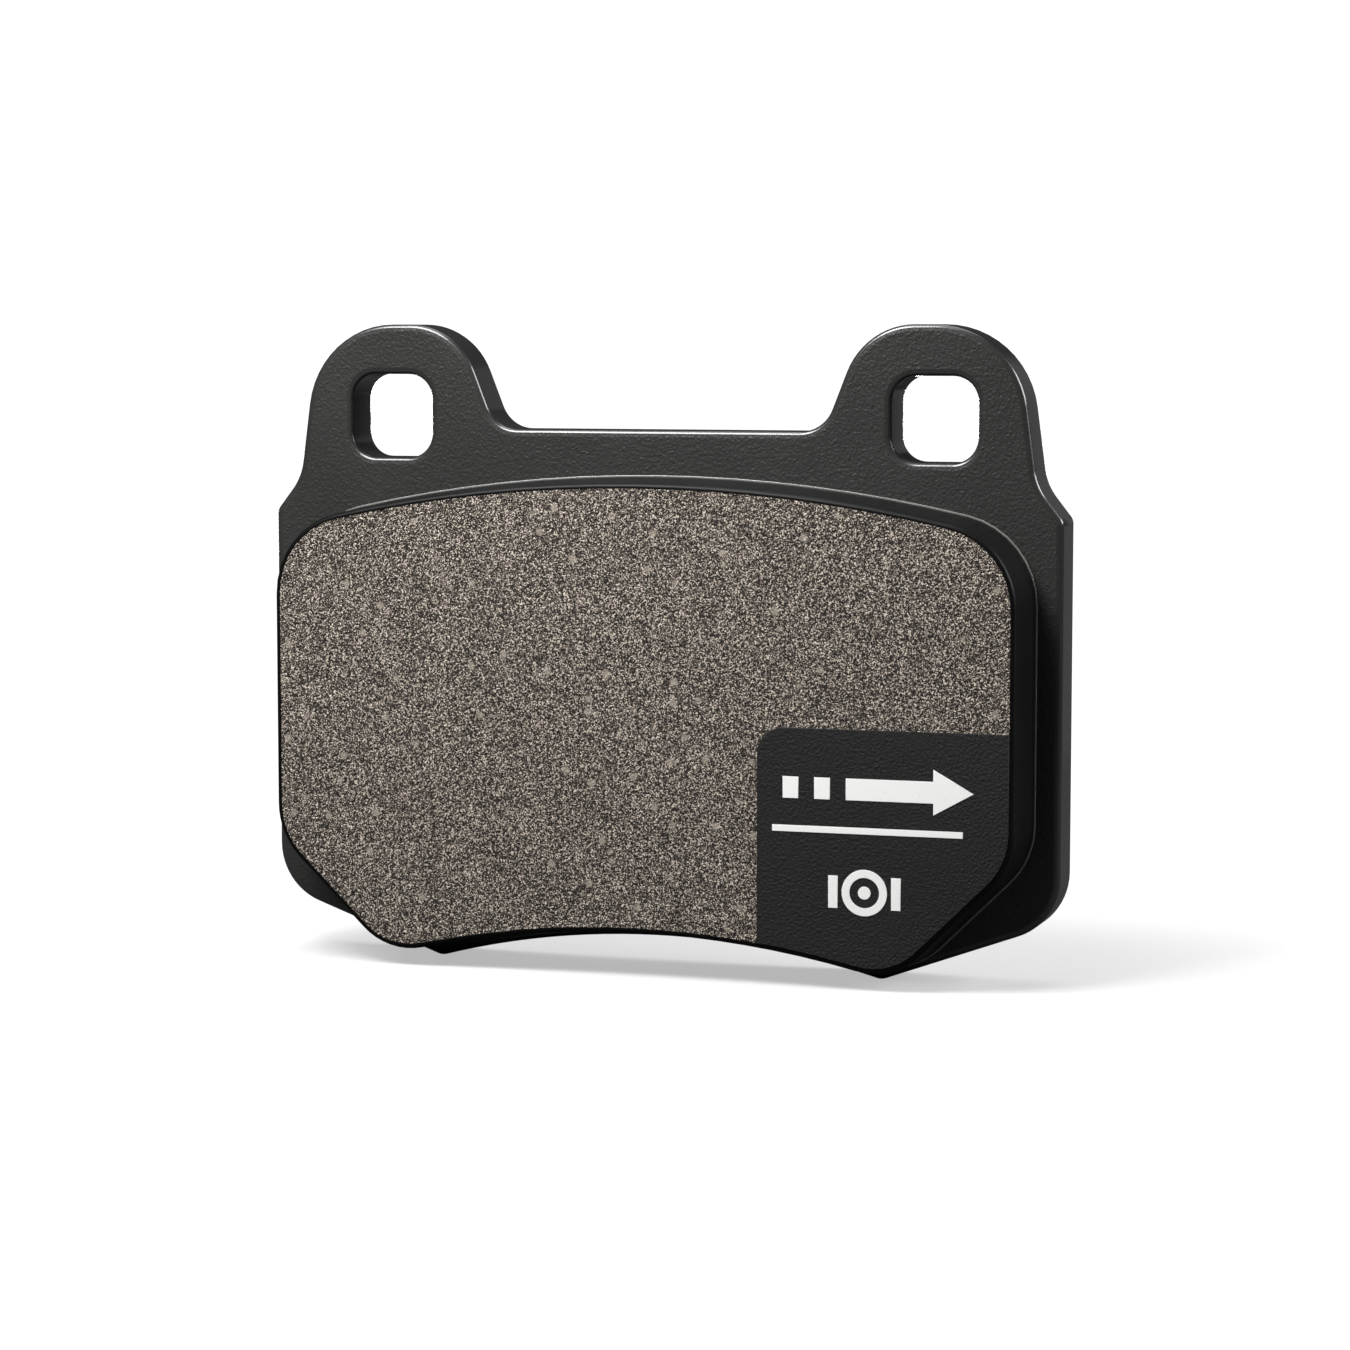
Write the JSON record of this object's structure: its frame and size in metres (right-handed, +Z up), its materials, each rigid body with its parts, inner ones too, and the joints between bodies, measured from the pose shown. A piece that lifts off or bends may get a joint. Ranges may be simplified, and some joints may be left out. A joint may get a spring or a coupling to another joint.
{
  "type": "disc brake pad",
  "caption": "Disc brake pad: a flat steel backing plate with eared pin holes carrying a bonded, chamfered friction block with coated walls and a printed corner panel.",
  "frame": {"origin": "under the middle of the pad, half way through its thickness, level with the feet of the backing plate", "axes": "+X along the pad to the right when the friction face is seen, +Y from the friction face to the plate's back, +Z up to the ears"},
  "size_m": [0.078, 0.012, 0.0611],
  "materials": {
    "plate_steel": "black satin powder coat with a fine leather grain",
    "adhesive": "cured black adhesive",
    "underlayer_mix": "moulded friction mix, dense and dark",
    "friction_mix": "ground friction material, speckled grey-brown",
    "wall_coat": "smooth black satin coat",
    "panel_film": "black film over a fine grain",
    "white_ink": "white printed ink"
  },
  "bodies": {
    "root": {"backing_plate": "plate_steel", "bond_film": "adhesive", "underlayer": "underlayer_mix", "friction_block": "friction_mix", "edge_coat": "wall_coat", "label_panel": "panel_film", "direction_arrow": "white_ink", "arrow_rule": "white_ink", "disc_mark": "white_ink"}
  },
  "joints": []
}
